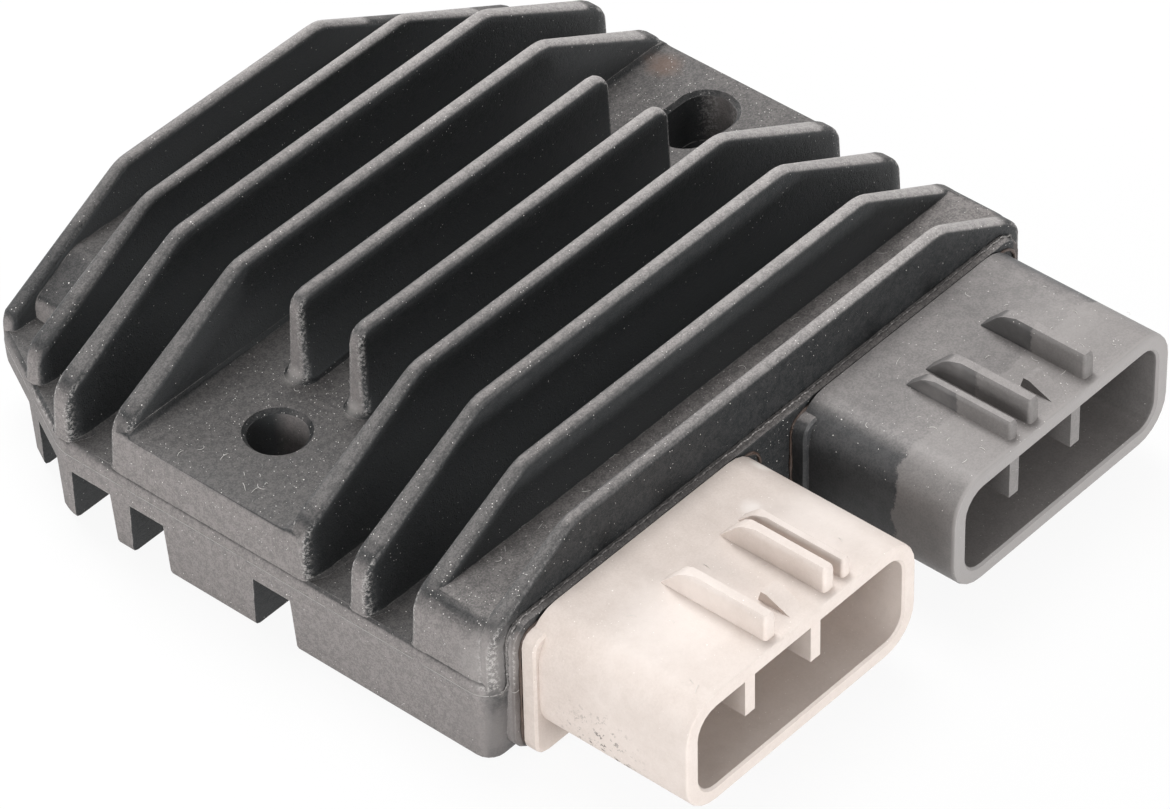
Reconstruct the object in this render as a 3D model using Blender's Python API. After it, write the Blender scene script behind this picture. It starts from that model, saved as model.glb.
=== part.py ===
# Voltage regulator rectifier: a finned die-cast housing with two plug connectors
# on its front wall and a resin-filled electronics pocket in its underside.
# Metres, +Z up. The seating plane is z = 0, the connectors face -Y, fins run along X.

import bpy
import bmesh
import math
from mathutils import Vector

mm = 0.001

# Clearance between neighbouring pieces, how far cutters run past the faces they open,
# and the smallest step or radius between two parts of one casting
gap = 0.3 * mm
cut_past = 1.0 * mm
least = 0.1 * mm

# Base plate
body_width = 98.6 * mm
parting_z = 10.6 * mm
valley_rise = 1.8 * mm
plate_thickness = 4.4 * mm
edge_margin = 1.55 * mm
rear_cut_width = 10.7 * mm
rear_cut_depth = 20.5 * mm
side_bend_radius = 6.0 * mm
rear_corner_plan_radius = 4.0 * mm
front_corner_plan_radius = 3.0 * mm
upper_edge_round = 0.55 * mm
plate_side_step = 0.12 * mm
lower_draft = 0.05
lower_edge_round = 0.8 * mm
seam_overlap = 0.3 * mm

# Fins
fin_count = 10
fin_pitch = 9.5 * mm
ridge_half_width = 1.0 * mm
ridge_edge_radius = 0.85 * mm
ridge_round_steps = 3
fin_draft = 0.05
fin_foot_fillet = 0.9 * mm
fin_knee_radius = 5.0 * mm
fin_end_radius = 0.8 * mm
fin_end_inset = 0.4 * mm
fin_end_fade = 2.5 * mm
main_ridge_z = 30.6 * mm
main_slope_run = 21.6 * mm
main_end_rise = 6.7 * mm
fin_corner_radius = 4.5 * mm
rear_ridge_drop = [5.3 * mm, 2.7 * mm]
rear_slope_run = [21.4 * mm, 21.15 * mm]
rear_end_rise = [1.5 * mm, 4.25 * mm]
rear_corner_radius = [2.2 * mm, 4.0 * mm]
front_ridge_drop = [1.8 * mm, 3.3 * mm]
front_fin_inset = 0.8 * mm
short_fin_setback = 21.4 * mm
short_fin_corner_radius = 2.5 * mm
short_fin_skirt = 1.1 * mm
short_fin_skirt_length = 7.5 * mm

# Mounting pads, holes and the bosses under them
pad_height = 5.8 * mm
pad_width = 28.8 * mm
pad_inner_slope = 1.2 * mm
pad_edge_round = 0.45 * mm
pad_wall_inset = 0.55 * mm
pad_wall_draft = 0.03
hole_setback = 12.9 * mm
hole_radius = 3.75 * mm
slot_setback = 9.85 * mm
slot_travel = 4.1 * mm
hole_chamfer = 0.55 * mm
boss_width = 21.8 * mm
boss_half_depth = 7.2 * mm

# Raised floors between the last two and the first two fins
roof_thickness = 1.47 * mm
roof_end_inset = 0.06 * mm
roof_edge_round = 0.4 * mm
web_rise = 6.3 * mm
web_setback = 3.6 * mm
web_slope_run = 7.0 * mm
web_step = 2.6 * mm
web_step_round = 1.8 * mm
web_knee_round = 5.0 * mm

# Ribs and channels of the underside
rib_root_half = 1.6 * mm
under_draft = 0.05
under_rib_fins = [2, 3, 4]

# Electronics pocket
pocket_wall = 2.8 * mm
front_wall = 3.0 * mm
box_rear_offset = 1.15 * mm
pocket_roof = 3.2 * mm
pocket_corner_radius = 2.5 * mm
bay_depth = 5.1 * mm
bay_side_room = 1.2 * mm
bay_top_room = 0.1 * mm
resin_face_z = 0.7 * mm

# Raised frame around the connectors on the front wall
frame_setback = 3.1 * mm
frame_side = 1.1 * mm
frame_foot = 0.1 * mm
frame_raise = 1.0 * mm
frame_corner_radius = 3.0 * mm
frame_edge_round = 0.35 * mm

# Connectors
connector_reach = 25.1 * mm
connector_spacing = 5.8 * mm
shell_half_height = 8.25 * mm
shell_wall = 2.2 * mm
shell_corner_radius = 5.2 * mm
shell_rim_round = 0.4 * mm
socket_base = 4.4 * mm
socket_mouth_chamfer = 0.3 * mm
flange_step = 0.7 * mm
flange_thickness = 1.9 * mm
flange_bottom_z = 0.7 * mm
flange_foot = 3.03 * mm
flange_drop = 1.43 * mm
flange_corner_radii = [2.0 * mm, 2.0 * mm, 6.0 * mm, 1.8 * mm]
flange_edge_round = 0.3 * mm
spigot_inset = 1.7 * mm
spigot_into_pocket = 1.3 * mm

# Ribs and the lock wedge on the connectors
latch_offset = 0.85 * mm
latch_width = 2.5 * mm
latch_height = 1.4 * mm
latch_flat = 0.8 * mm
latch_rear_from_mouth = 5.9 * mm
latch_front_from_mouth = 1.6 * mm
latch_rib_spacing = 10.4 * mm
latch_rib_width = 1.85 * mm
latch_rib_height = 3.45 * mm
latch_rib_ramp = 3.3 * mm
output_key_spacing = 3.1 * mm
stator_key_spacing = 3.8 * mm
key_rib_width = 1.5 * mm
key_rib_height = 2.45 * mm
key_rib_ramp = 2.6 * mm
rib_from_mouth = 1.1 * mm
rib_length = 15.6 * mm
rib_corner_radius = 0.5 * mm
rib_edge_round = 0.35 * mm
guide_rib_width = 1.7 * mm
guide_rib_clearance = 0.5 * mm
guide_rib_setback = 0.8 * mm

# Blade terminals
first_terminal_margin = 4.0 * mm
last_terminal_margin = 9.2 * mm
terminal_drop = 1.04 * mm
blade_width = 6.3 * mm
blade_thickness = 0.8 * mm
blade_tip_taper = 0.9 * mm
blade_tip_share = 0.35
blade_from_mouth = 6.3 * mm
leg_from_spigot = 0.8 * mm
tail_length = 4.4 * mm
tail_width = 4.0 * mm

# Circuit in the pocket
film_thickness = 0.5 * mm
substrate_thickness = 1.6 * mm
substrate_margin = 2.2 * mm
substrate_front_setback = 0.3 * mm
transistor_count = 6
transistor_size = (8.6 * mm, 6.4 * mm, 2.8 * mm)
transistor_margin = 6.8 * mm
part_spacing = 1.0 * mm
chip_size = (7.0 * mm, 4.0 * mm, 1.6 * mm)
capacitor_size = (4.5 * mm, 3.2 * mm, 2.5 * mm)
resistor_size = (6.4 * mm, 3.2 * mm, 1.0 * mm)

# Places that follow from the sizes above
half_width = body_width / 2
valley_z = parting_z + valley_rise
plate_under_z = valley_z - plate_thickness
pad_z = valley_z + pad_height
main_end_z = valley_z + main_end_rise
fin_end_x = half_width - fin_end_inset
main_knee_x = fin_end_x - main_slope_run
main_slope = (main_ridge_z - main_end_z) / main_slope_run
short_fin_half_length = half_width - short_fin_setback
rear_edge_half = half_width - rear_cut_width
overall_depth = 2 * edge_margin + fin_pitch * (fin_count - 1) + connector_reach
rear_y = overall_depth / 2
mouth_y = -overall_depth / 2
front_y = mouth_y + connector_reach
frame_y = front_y - frame_raise
side_bend_y = rear_y - rear_cut_depth
mount_y = rear_y - edge_margin - fin_pitch * (fin_count - 1) / 2
hole_x = hole_setback - half_width
slot_x = half_width - slot_setback
boss_inner_x = half_width - boss_width
flange_back_y = frame_y - gap
flange_front_y = flange_back_y - flange_thickness
socket_floor_y = flange_back_y - socket_base
frame_half_width = half_width - frame_setback
flange_half_width = (frame_half_width - frame_side - connector_spacing / 2) / 2
shell_half_width = flange_half_width - flange_step
connector_x = connector_spacing / 2 + flange_half_width
shell_z = flange_bottom_z + flange_foot + shell_half_height
shell_top_z = shell_z + shell_half_height
flange_top_z = shell_top_z - flange_drop
blade_z = shell_z - terminal_drop
window_top_z = shell_top_z - spigot_inset + gap
bay_ceiling_z = window_top_z + bay_top_room
bay_half_width = connector_x + shell_half_width - spigot_inset + gap + bay_side_room
roof_z = bay_ceiling_z + roof_thickness
box_rear_y = mount_y - 1.5 * fin_pitch + box_rear_offset
pocket_ceiling_z = valley_z - pocket_roof
pocket_front_y = front_y + front_wall
pocket_rear_y = box_rear_y - pocket_wall
spigot_rear_y = pocket_front_y + spigot_into_pocket


def fin_y(number):
    return rear_y - edge_margin - (number - 1) * fin_pitch


# Scene and mesh helpers

def clear_scene():
    for item in list(bpy.data.objects):
        bpy.data.objects.remove(item, do_unlink=True)


def make_material(name, color, roughness, metallic=0.0):
    material = bpy.data.materials.new(name)
    material.use_nodes = True
    shader = material.node_tree.nodes["Principled BSDF"]
    shader.inputs["Base Color"].default_value = (*color, 1.0)
    shader.inputs["Roughness"].default_value = roughness
    shader.inputs["Metallic"].default_value = metallic
    return material


def loft(name, rings):
    """Closed solid through rings of equal point counts, with both ends capped."""
    bm = bmesh.new()
    rows = [[bm.verts.new(point) for point in ring] for ring in rings]
    count = len(rows[0])
    for low, high in zip(rows, rows[1:]):
        for k in range(count):
            after = (k + 1) % count
            bm.faces.new((low[k], low[after], high[after], high[k]))
    bm.faces.new(rows[0][::-1])
    bm.faces.new(rows[-1])
    bmesh.ops.recalc_face_normals(bm, faces=bm.faces[:])
    mesh = bpy.data.meshes.new(name)
    bm.to_mesh(mesh)
    bm.free()
    mesh.shade_smooth()
    mesh.set_sharp_from_angle(angle=math.radians(34))
    body = bpy.data.objects.new(name, mesh)
    bpy.context.scene.collection.objects.link(body)
    return body


def boolean(target, operation, tools):
    """One exact Boolean of the target with every tool, kept as a live modifier."""
    group = bpy.data.collections.new(target.name + "_" + operation.lower())
    bpy.context.scene.collection.children.link(group)
    for tool in tools:
        bpy.context.scene.collection.objects.unlink(tool)
        group.objects.link(tool)
        tool.hide_render = True
        tool.display_type = "WIRE"
    modifier = target.modifiers.new(operation.title(), "BOOLEAN")
    modifier.operation = operation
    modifier.operand_type = "COLLECTION"
    modifier.collection = group
    modifier.solver = "EXACT"


def finish(body, material):
    body.data.materials.append(material)
    weighted = body.modifiers.new("Weighted_Normal", "WEIGHTED_NORMAL")
    weighted.keep_sharp = True
    return body


# Outline helpers, all on counter-clockwise 2-D points

def fillet_corner(before, corner, after, radius, steps):
    """Arc of the given radius that is tangent to both sides of a corner."""
    into = (corner - before).normalized()
    out = (after - corner).normalized()
    turn = into.angle_signed(out)
    if radius <= 0 or abs(turn) < 1e-4:
        return [corner]
    reach = radius * math.tan(abs(turn) / 2)
    start = corner - into * reach
    side = Vector((into.y, -into.x)) if turn > 0 else Vector((-into.y, into.x))
    center = start + side * radius
    spoke = start - center
    points = []
    for k in range(steps + 1):
        angle = -turn * k / steps
        spun = Vector((spoke.x * math.cos(angle) - spoke.y * math.sin(angle),
                       spoke.x * math.sin(angle) + spoke.y * math.cos(angle)))
        points.append(center + spun)
    return points


def inset_corners(corners, inset):
    """Corners of the same polygon with every side moved inwards."""
    moved = []
    count = len(corners)
    for k in range(count):
        into = (corners[k] - corners[k - 1]).normalized()
        out = (corners[(k + 1) % count] - corners[k]).normalized()
        normal_in = Vector((-into.y, into.x))
        normal_out = Vector((-out.y, out.x))
        bisector = normal_in + normal_out
        moved.append(corners[k] + bisector * (inset / (1 + normal_in.dot(normal_out))))
    return moved


def rounded_outline(corners, radii, steps, inset=0.0):
    corners = inset_corners([Vector(corner) for corner in corners], inset)
    points = []
    count = len(corners)
    for k in range(count):
        radius = max(radii[k] - inset, least / 2)
        points += fillet_corner(corners[k - 1], corners[k], corners[(k + 1) % count],
                                radius, steps[k])
    return points


def rectangle(x_low, x_high, v_low, v_high):
    return [(x_low, v_low), (x_high, v_low), (x_high, v_high), (x_low, v_high)]


def stack_z(name, corners, radii, steps, levels):
    """Solid with the same outline at each (z, inset) level."""
    rings = []
    for z, inset in levels:
        outline = rounded_outline(corners, radii, steps, inset)
        rings.append([(point.x, point.y, z) for point in outline])
    return loft(name, rings)


def stack_y(name, corners, radii, steps, levels):
    """Solid with the same X-Z outline at each (y, inset) level."""
    rings = []
    for y, inset in levels:
        outline = rounded_outline(corners, radii, steps, inset)
        rings.append([(point.x, y, point.y) for point in outline])
    return loft(name, rings)


def box(name, x_low, x_high, y_low, y_high, z_low, z_high):
    corners = rectangle(x_low, x_high, y_low, y_high)
    rings = [[(x, y, z) for x, y in corners] for z in (z_low, z_high)]
    return loft(name, rings)


# Finned housing

def ridge_path(ridge_z, knee_x, end_x, end_z, corner_radius):
    """Half of a fin's ridge: level, rounded knee, slope, rounded corner above the floor."""
    bend = [Vector((0, ridge_z)), Vector((knee_x, ridge_z)),
            Vector((end_x, end_z)), Vector((end_x, 0))]
    half_turn = math.pi / 4 - math.atan2(ridge_z - end_z, end_x - knee_x) / 2
    radius = min(corner_radius, 0.9 * (end_z - valley_z) / math.tan(half_turn))
    return (fillet_corner(bend[0], bend[1], bend[2], fin_knee_radius, 3)
            + fillet_corner(bend[1], bend[2], bend[3], radius, 5))


def main_path(drop, end_x):
    """Ridge that is lower by a drop, with its end on the main fins' slope."""
    knee_x = main_knee_x + drop / main_slope
    end_z = main_end_z + (fin_end_x - end_x) * main_slope
    return ridge_path(main_ridge_z - drop, knee_x, end_x, end_z, fin_corner_radius)


def short_ridge_path(ridge_z, end_x, corner_radius):
    """Half of a ridge that drops straight down at its end, into a pad."""
    corner = fillet_corner(Vector((0, ridge_z)), Vector((end_x, ridge_z)),
                           Vector((end_x, 0)), corner_radius, 4)
    return corner + [Vector((end_x, pad_z - seam_overlap))]


def ridge_round(half, top_z):
    """Quarter round from a fin's side to its ridge."""
    radius = min(ridge_edge_radius, 0.9 * half)
    points = []
    for k in range(ridge_round_steps + 1):
        angle = math.pi / 2 * k / ridge_round_steps
        points.append((half - radius * (1 - math.cos(angle)), top_z - radius * (1 - math.sin(angle))))
    return points


def flank(half, top_z, fade):
    """One side of a fin's section, foot first: filleted foot, draft, rounded ridge."""
    height = max(top_z - valley_z, 0)
    foot = half + height * fin_draft
    fillet = min(fin_foot_fillet, 0.4 * max(height, seam_overlap)) * fade
    return [(foot + fillet, valley_z - seam_overlap),
            (foot + fillet, valley_z + 0.2 * least),
            (foot + 0.3 * fillet, valley_z + 0.3 * fillet),
            (foot, valley_z + fillet)] + ridge_round(half, top_z)


def rear_margin_at(x):
    """Distance from the first fin's middle to the plate's rear edge, less at its corners."""
    turn = math.atan2(rear_cut_depth, half_width - rear_edge_half)
    radius = rear_corner_plan_radius
    into = max(abs(x) - (rear_edge_half - radius * math.tan(turn / 2)), 0)
    return edge_margin - radius + math.sqrt(max(radius ** 2 - into ** 2, 0))


def front_margin_at(x):
    """The same for the last fin and the front edge."""
    radius = front_corner_plan_radius
    into = max(abs(x) - (half_width - radius), 0)
    return edge_margin - radius + math.sqrt(max(radius ** 2 - into ** 2, 0))


def outer_flank(half, top_z, ridge_z, margin):
    """Side of the first or last fin: a plane that runs down flush with the plate's edge."""
    low_z = parting_z + seam_overlap
    low = margin - roof_end_inset
    lean = (low - min(ridge_half_width, low - least)) / (ridge_z - low_z)
    half = min(half, low - lean * (top_z - low_z))
    ridge = ridge_round(half, top_z)
    height = ridge[0][1] - low_z
    points = []
    for share in (0, 0.12, 0.25, 0.5):
        points.append((low + share * (half - low), low_z + share * height))
    return points + ridge


def fin_section(number, x, top_z, ridge_z, end_x, end_radius):
    """Section of a fin at one x: wider where the ridge is lower, narrower at its rounded end."""
    distance = max(end_x - abs(x), 0)
    into_end = max(end_radius - distance, 0)
    pull = end_radius - math.sqrt(max(end_radius ** 2 - into_end ** 2, 0))
    fade = min(1, 0.25 + 0.75 * distance / fin_end_fade)
    half = ridge_half_width + (ridge_z - top_z) * fin_draft * fade - pull
    front_side = flank(half, top_z, fade)
    rear_side = front_side
    if number == 1:
        rear_side = outer_flank(half, top_z, ridge_z, rear_margin_at(x))
    if number == fin_count:
        front_side = outer_flank(half, top_z, ridge_z, front_margin_at(x))
    y = fin_y(number)
    front = [(x, y - offset, z) for offset, z in front_side]
    rear = [(x, y + offset, z) for offset, z in reversed(rear_side)]
    return front + rear


def make_fin(number, path, end_x, end_radius):
    half = [(point.x, point.y) for point in path]
    columns = [(-x, z) for x, z in reversed(half)] + half
    ridge_z = half[0][1]
    rings = [fin_section(number, x, z, ridge_z, end_x, end_radius) for x, z in columns]
    return loft("fin_%02d" % number, rings)


def make_skirt(side, number):
    """Flared foot of a short fin where its end stands on a pad."""
    y = fin_y(number)
    foot = ridge_half_width + (main_ridge_z - pad_z) * fin_draft
    far = short_fin_half_length
    skirt = short_fin_skirt
    levels = [(-seam_overlap, 1.0), (0.02 * skirt, 1.0), (0.27 * skirt, 0.5),
              (0.8 * skirt, 0.22), (2.1 * skirt, -0.08), (2.9 * skirt, -0.4)]
    rings = []
    for rise, share in levels:
        flare = share * skirt
        x_low, x_high = sorted((side * (far - short_fin_skirt_length), side * (far + flare)))
        corners = rectangle(x_low, x_high, y - foot - flare * 0.6, y + foot + flare * 0.6)
        at_end = [side * corner[0] > far - short_fin_skirt_length / 2 for corner in corners]
        radii = [skirt + 0.8 * max(flare, 0) if near else least for near in at_end]
        steps = [4 if near else 1 for near in at_end]
        outline = rounded_outline(corners, radii, steps)
        rings.append([(point.x, point.y, pad_z + rise) for point in outline])
    return loft("skirt", rings)


def plan_edge_x(y):
    """Half width of the base plate at a given depth, on its cut-off rear corners."""
    if y <= side_bend_y:
        return half_width
    share = (y - side_bend_y) / (rear_y - side_bend_y)
    return half_width + share * (rear_edge_half - half_width)


def make_fins():
    fins = []
    for k in range(2):
        end_x = plan_edge_x(fin_y(k + 1)) - fin_end_inset
        path = ridge_path(main_ridge_z - rear_ridge_drop[k], end_x - rear_slope_run[k], end_x,
                          valley_z + rear_end_rise[k], rear_corner_radius[k])
        fins.append(make_fin(k + 1, path, end_x, fin_end_radius))
    for number in (3, 4, 7, 8):
        fins.append(make_fin(number, main_path(0, fin_end_x), fin_end_x, fin_end_radius))
    for number in (5, 6):
        path = short_ridge_path(main_ridge_z, short_fin_half_length, short_fin_corner_radius)
        fins.append(make_fin(number, path, short_fin_half_length, fin_end_radius))
        fins += [make_skirt(side, number) for side in (-1, 1)]
    for k, end_x in enumerate((fin_end_x, half_width - front_fin_inset)):
        path = main_path(front_ridge_drop[k], end_x)
        fins.append(make_fin(fin_count - 1 + k, path, end_x, fin_end_radius))
    return fins


def make_plate():
    """Base plate and everything below it as one block, before its underside is cut."""
    corners = [(-half_width, front_y), (half_width, front_y), (half_width, side_bend_y),
               (rear_edge_half, rear_y), (-rear_edge_half, rear_y), (-half_width, side_bend_y)]
    radii = [front_corner_plan_radius, front_corner_plan_radius, side_bend_radius,
             rear_corner_plan_radius, rear_corner_plan_radius, side_bend_radius]
    steps = [5, 5, 3, 4, 4, 3]
    foot_inset = parting_z * lower_draft
    levels = [(0, foot_inset + lower_edge_round),
              (0.3 * lower_edge_round, foot_inset + 0.3 * lower_edge_round),
              (lower_edge_round, foot_inset),
              (parting_z, 0),
              (valley_z - upper_edge_round, plate_side_step),
              (valley_z, plate_side_step + upper_edge_round)]
    return stack_z("finned_housing", corners, radii, steps, levels)


def pad_section(x, side, top_z, rise):
    """Pad profile between the fourth and seventh fins, with a fillet at both."""
    reach = 1.5 * fin_pitch + 0.4 * ridge_half_width
    flank_y = 1.5 * fin_pitch - ridge_half_width - (main_ridge_z - top_z) * fin_draft
    fillet = fin_foot_fillet
    half = [(0, top_z), (flank_y - fillet, top_z), (flank_y - 0.3 * fillet, top_z + 0.3 * rise),
            (flank_y, top_z + rise), (reach, top_z + rise), (reach, parting_z + seam_overlap)]
    section = [(-y, z) for y, z in reversed(half)] + half[1:]
    return [(x + side * (pad_z - z) * pad_wall_draft, mount_y + y, z) for y, z in section]


def make_pads():
    pads = []
    outer = half_width - pad_wall_inset
    for side in (-1, 1):
        pad_inner_x = half_width - pad_width
        places = [(pad_inner_x - pad_inner_slope, valley_z + seam_overlap, least),
                  (pad_inner_x, pad_z - 0.3 * pad_edge_round, fin_foot_fillet),
                  (pad_inner_x + pad_edge_round, pad_z, fin_foot_fillet),
                  (outer - fin_end_fade, pad_z, fin_foot_fillet),
                  (outer - pad_edge_round, pad_z, 0.3 * fin_foot_fillet),
                  (outer - 0.3 * pad_edge_round, pad_z - 0.3 * pad_edge_round,
                   0.2 * fin_foot_fillet),
                  (outer, pad_z - pad_edge_round, least)]
        rings = [pad_section(side * x, side, top_z, rise) for x, top_z, rise in places]
        pads.append(loft("pad", rings))
    return pads


def main_half_at(z, path):
    """Half length of the main fins at a height above their end's corner."""
    for high, low in zip(path, path[1:]):
        if low.y <= z <= high.y:
            return low.x + (high.x - low.x) * (z - low.y) / (high.y - low.y)
    return path[-1].x


def make_roof():
    """Raised channel floor over the connectors' bay, with the fins' end curve."""
    path = [point for point in main_path(0, fin_end_x) if point.y < main_ridge_z]
    heights = [parting_z + seam_overlap]
    heights += [point.y for point in reversed(path) if point.y < roof_z - roof_edge_round]
    heights += [roof_z - 0.3 * roof_edge_round, roof_z]
    rings = []
    for z in heights:
        half = main_half_at(z, path) - roof_end_inset
        if z == roof_z:
            half -= roof_edge_round
        wall_y = front_y + (z - parting_z) * fin_draft + roof_end_inset
        corners = rectangle(-half, half, wall_y, fin_y(fin_count - 1))
        radii = [front_corner_plan_radius, front_corner_plan_radius, least, least]
        outline = rounded_outline(corners, radii, [5, 5, 1, 1])
        rings.append([(point.x, point.y, z) for point in outline])
    return loft("roof", rings)


def make_web():
    """Raised floor between the first two fins."""
    web_foot_half = rear_edge_half - web_setback
    web_level_half = web_foot_half - web_slope_run
    web_z = valley_z + web_rise
    foot = Vector((web_foot_half + 2 * least, valley_z - seam_overlap))
    step = Vector((web_foot_half, valley_z + web_step))
    level = Vector((web_level_half, web_z))
    side = [foot] + fillet_corner(foot, step, level, web_step_round, 4)
    side += fillet_corner(step, level, Vector((0, web_z)), web_knee_round, 3)
    profile = [(point.x, point.y) for point in side]
    profile += [(-x, z) for x, z in reversed(profile)]
    inside = 0.9 * ridge_half_width
    rings = [[(x, y, z) for x, z in profile]
             for y in (fin_y(2) + inside, fin_y(1) - inside)]
    return loft("web", rings)


def make_frame():
    corners = rectangle(-frame_half_width, frame_half_width,
                        flange_bottom_z - frame_foot, flange_top_z + frame_side)
    levels = [(front_y + front_wall / 2, 0),
              (frame_y + frame_edge_round, 0),
              (frame_y + 0.3 * frame_edge_round, 0.3 * frame_edge_round),
              (frame_y, frame_edge_round)]
    return stack_y("frame", corners, [frame_corner_radius] * 4, [4] * 4, levels)


def under_channel(corners):
    """Drafted channel cut up into the underside, widest at its mouth."""
    corners = [Vector(corner) for corner in corners]
    rings = []
    for z in (plate_under_z, -seam_overlap):
        widened = inset_corners(corners, (z - plate_under_z) * under_draft)
        rings.append([(point.x, point.y, z) for point in widened])
    return loft("channel", rings)


def make_channels():
    past = half_width + cut_past
    edges = [rear_y + cut_past]
    for number in under_rib_fins:
        edges += [fin_y(number) + rib_root_half, fin_y(number) - rib_root_half]
    channels = [under_channel(rectangle(-past, past, low, high))
                for high, low in zip(edges[:-1:2], edges[1:-1:2])]
    inner = boss_inner_x
    short_rib = fin_pitch / 2 + rib_root_half
    behind = mount_y + boss_half_depth
    channels.append(under_channel([(-past, behind), (-inner, behind),
                                   (-inner, mount_y + short_rib), (inner, mount_y + short_rib),
                                   (inner, behind), (past, behind),
                                   (past, edges[-1]), (-past, edges[-1])]))
    ahead = mount_y - boss_half_depth
    channels.append(under_channel([(-past, box_rear_y), (past, box_rear_y),
                                   (past, ahead), (inner, ahead),
                                   (inner, mount_y - short_rib), (-inner, mount_y - short_rib),
                                   (-inner, ahead), (-past, ahead)]))
    between = fin_pitch / 2 - rib_root_half
    channels.append(under_channel(rectangle(-inner, inner, mount_y - between, mount_y + between)))
    return channels


def make_hole(x, travel):
    """Through hole, round or drawn out along X, chamfered at both mouths."""
    wide = hole_radius + hole_chamfer + cut_past
    levels = [(-cut_past, wide), (hole_chamfer, hole_radius),
              (pad_z - hole_chamfer, hole_radius), (pad_z + cut_past, wide)]
    rings = []
    for z, radius in levels:
        ring = []
        for k in range(32):
            angle = 2 * math.pi * (k + 0.5) / 32
            shift = math.copysign(travel / 2, math.cos(angle))
            ring.append((x + shift + radius * math.cos(angle),
                         mount_y + radius * math.sin(angle), z))
        rings.append(ring)
    return loft("hole", rings)


def pocket_corners(clearance):
    side = half_width - pocket_wall - parting_z * lower_draft
    return rectangle(-side + clearance, side - clearance,
                     pocket_front_y + clearance, pocket_rear_y - clearance)


def make_pocket():
    radii = [pocket_corner_radius] * 4
    pocket = stack_z("pocket", pocket_corners(0), radii, [4] * 4,
                     [(-cut_past, 0), (pocket_ceiling_z, 0)])
    bay = stack_z("bay", rectangle(-bay_half_width, bay_half_width, pocket_front_y + least / 10,
                                   pocket_front_y + bay_depth), [1.0 * mm] * 4, [2] * 4,
                  [(pocket_ceiling_z - cut_past, 0), (bay_ceiling_z, 0)])
    return [pocket, bay]


def spigot_corners(side, clearance):
    half = shell_half_width - spigot_inset + clearance
    tall = shell_half_height - spigot_inset + clearance
    center = side * connector_x
    return rectangle(center - half, center + half, shell_z - tall, shell_z + tall)


def make_windows():
    radius = shell_corner_radius - spigot_inset + gap
    levels = [(spigot_rear_y + gap, 0), (frame_y - cut_past, 0)]
    return [stack_y("window", spigot_corners(side, gap), [radius] * 4, [5] * 4, levels)
            for side in (-1, 1)]


def build_housing():
    housing = make_plate()
    added = make_fins() + make_pads() + [make_roof(), make_web(), make_frame()]
    boolean(housing, "UNION", added)
    removed = make_channels() + make_pocket() + make_windows()
    removed += [make_hole(hole_x, 0), make_hole(slot_x, slot_travel)]
    boolean(housing, "DIFFERENCE", removed)
    return finish(housing, make_material("cast_coating", (0.035, 0.034, 0.033), 0.6, 0.2))


# Connector shells

def ridge_on_top(name, x, width, height, ramp):
    """Rib along Y on the shell's top, ramped at its rear, with rounded edges."""
    front = mouth_y + rib_from_mouth
    rear = front + rib_length
    levels = [(-0.15, -0.15, 0.0), (0.75, 0.75, 0.0), (0.9, 1.0, 0.3), (1.0, 1.4, 1.0)]
    rings = []
    for rise, run, round_share in levels:
        corners = rectangle(x - width / 2, x + width / 2, front, rear - run * ramp)
        outline = rounded_outline(corners, [rib_corner_radius, rib_corner_radius, least, least],
                                  [3, 3, 1, 1], round_share * rib_edge_round)
        z = shell_top_z + rise * height
        rings.append([(point.x, point.y, z) for point in outline])
    return loft(name, rings)


def make_latch(center):
    """Lock wedge: steep at its rear, running down to the front."""
    sink = shell_wall / 4
    rear = mouth_y + latch_rear_from_mouth
    front = mouth_y + latch_front_from_mouth
    top_z = shell_top_z + latch_height
    side_view = [(rear + sink, shell_top_z - sink), (rear, top_z), (rear - latch_flat, top_z),
                 (front, shell_top_z), (front, shell_top_z - sink)]
    x = center + latch_offset
    rings = [[(x + offset, y, z) for y, z in side_view]
             for offset in (-latch_width / 2, latch_width / 2)]
    return loft("latch", rings)


def make_top_ribs(center, key_side, key_spacing):
    """Two latch ribs beside the wedge and one lower key rib outside one of them."""
    ribs = []
    for side in (-1, 1):
        x = center + latch_offset + side * latch_rib_spacing / 2
        ribs.append(ridge_on_top("latch_rib", x, latch_rib_width, latch_rib_height,
                                 latch_rib_ramp))
        if side == key_side:
            ribs.append(ridge_on_top("key_rib", x + side * key_spacing, key_rib_width,
                                     key_rib_height, key_rib_ramp))
    return ribs


def make_guide_ribs(side):
    """Ribs that hang from the socket's roof, midway between the blades."""
    places = terminal_places(side)
    roof = shell_top_z - shell_wall
    ribs = []
    for left, right in zip(places, places[1:]):
        x = (left + right) / 2
        ribs.append(box("guide_rib", x - guide_rib_width / 2, x + guide_rib_width / 2,
                        mouth_y + guide_rib_setback, socket_floor_y + shell_wall / 4,
                        blade_z + blade_thickness / 2 + guide_rib_clearance,
                        roof + shell_wall / 4))
    return ribs


def terminal_leg_y():
    return spigot_rear_y + leg_from_spigot + blade_thickness / 2


def terminal_places(side):
    center = side * connector_x
    inner = shell_half_width - shell_wall
    first = center - inner + first_terminal_margin
    last = center + inner - last_terminal_margin
    return [first, (first + last) / 2, last]


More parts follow.
